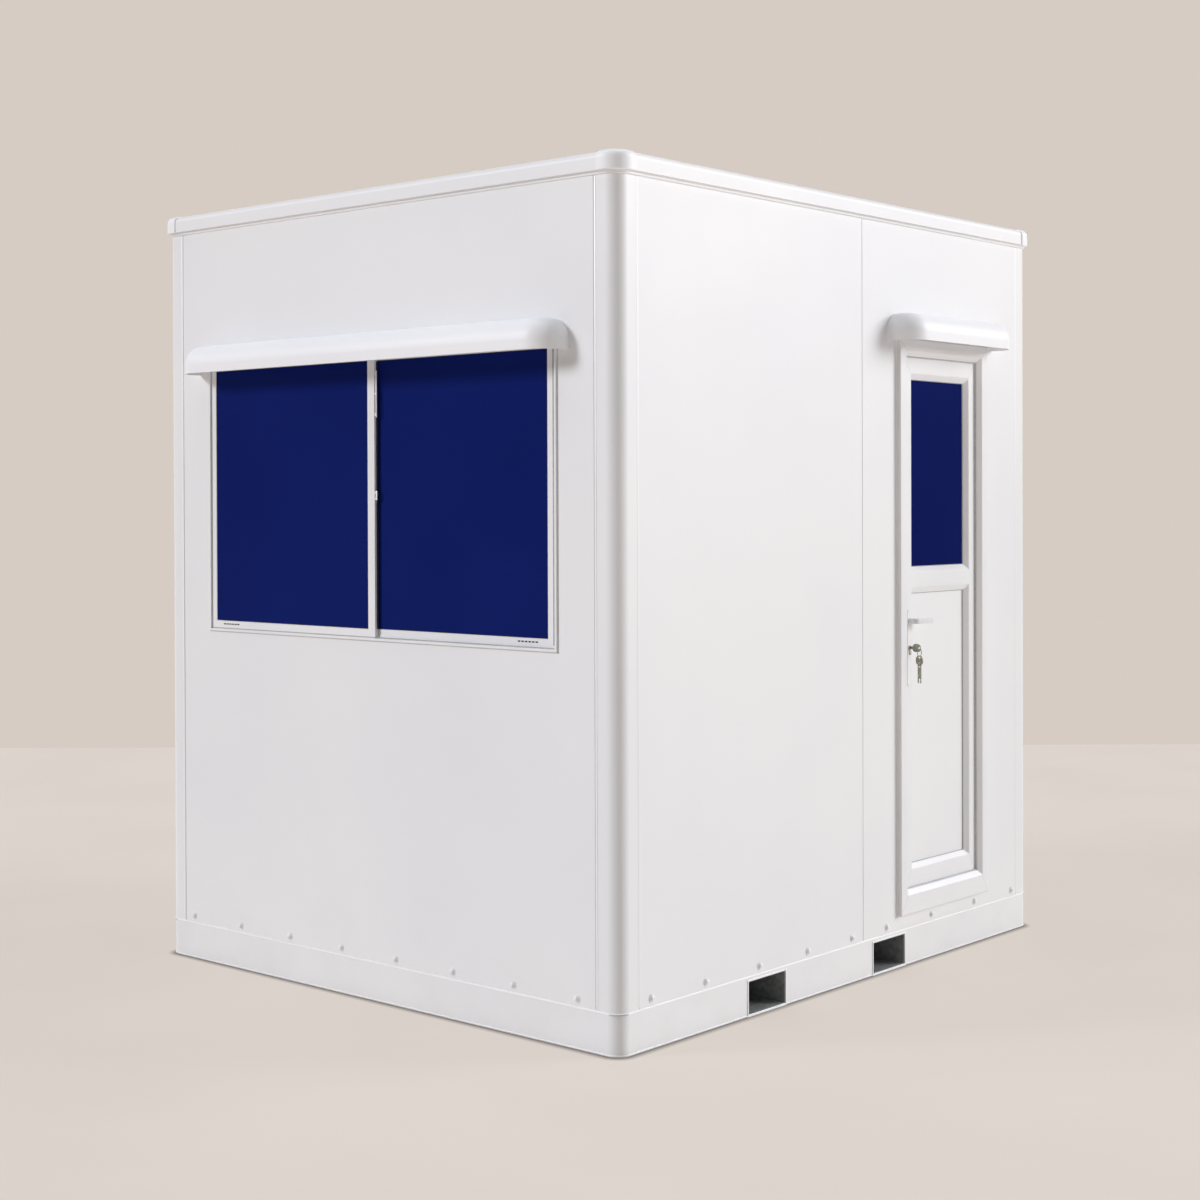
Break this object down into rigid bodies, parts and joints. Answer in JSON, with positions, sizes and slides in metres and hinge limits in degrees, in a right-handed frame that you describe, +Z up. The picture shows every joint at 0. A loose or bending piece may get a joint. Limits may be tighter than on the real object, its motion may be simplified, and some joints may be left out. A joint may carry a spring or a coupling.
{
  "type": "modular shack",
  "caption": "Small white flat-roofed modular cabin with a sliding window and a half-glazed door under rounded rain hoods, on a skirted base with fork pockets.",
  "frame": {"origin": "middle of the footprint at ground level, on the underside of the middle floor joist", "axes": "+Z up, -Y out of the window wall, +X out of the door wall"},
  "size_m": [2.238, 2.508, 2.64],
  "materials": {
    "wall_panel": "smooth white gel-coated panel skin",
    "corner_moulding": "smooth white moulding",
    "roof_moulding": "smooth white moulding",
    "base_paint": "white coated steel",
    "galvanised": "dull galvanised",
    "floor_covering": "matt grey sheet floor",
    "ceiling_board": "matt white board",
    "window_profile": "smooth white profile",
    "dark_glass": "dark blue tinted glass",
    "hood_moulding": "glossy white moulding",
    "door_profile": "smooth white profile",
    "door_infill": "smooth white infill panel",
    "handle_coat": "white powder coat",
    "lock_nickel": "satin nickel",
    "key_nickel": "worn nickel",
    "hinge_coat": "white powder coat"
  },
  "bodies": {
    "cabin": {"base_skirt": "base_paint", "fork_pocket_front": "galvanised", "fork_pocket_rear": "galvanised", "floor_joists": "galvanised", "floor_panel": "floor_covering", "corner_post_front_right": "corner_moulding", "corner_post_front_left": "corner_moulding", "corner_post_rear_right": "corner_moulding", "corner_post_rear_left": "corner_moulding", "front_wall": "wall_panel", "rear_wall": "wall_panel", "left_wall_front": "wall_panel", "left_wall_rear": "wall_panel", "right_wall_front": "wall_panel", "door_wall_latch_side": "wall_panel", "door_wall_hinge_side": "wall_panel", "door_wall_head": "wall_panel", "door_wall_sill": "wall_panel", "top_rail": "roof_moulding", "ceiling_panel": "ceiling_board", "roof_cap": "roof_moulding", "roof_corner_caps": "roof_moulding", "window_frame": "window_profile", "window_sash_left": "window_profile", "window_sash_right": "window_profile", "window_glass_left": "dark_glass", "window_glass_right": "dark_glass", "window_hood": "hood_moulding", "door_frame": "door_profile", "door_hood": "hood_moulding", "hinge_pins": "hinge_coat"},
    "door": {"door_leaf": "door_profile", "door_glass": "dark_glass", "door_lower_panel": "door_infill", "door_glass_beads": "door_profile", "door_panel_beads": "door_profile", "door_handle_plates": "handle_coat", "lock_cylinder": "lock_nickel", "door_key": "key_nickel", "key_ring": "key_nickel", "spare_key": "key_nickel", "hinge_knuckles": "hinge_coat"},
    "levers": {"door_levers": "handle_coat"}
  },
  "joints": [
    {"name": "door_swing", "type": "hinge", "parent": "cabin", "child": "door", "pos_m": [0.986, 0.8235, 1.19], "axis": [0, 0, -1], "range_deg": [0, 90]},
    {"name": "lever_turn", "type": "hinge", "parent": "door", "child": "levers", "pos_m": [1.05, 0.368, 1.19], "axis": [-1, 0, 0], "range_deg": [0, 40], "stiffness_Nm_per_rad": 1.5, "springref_deg": -11.46}
  ]
}
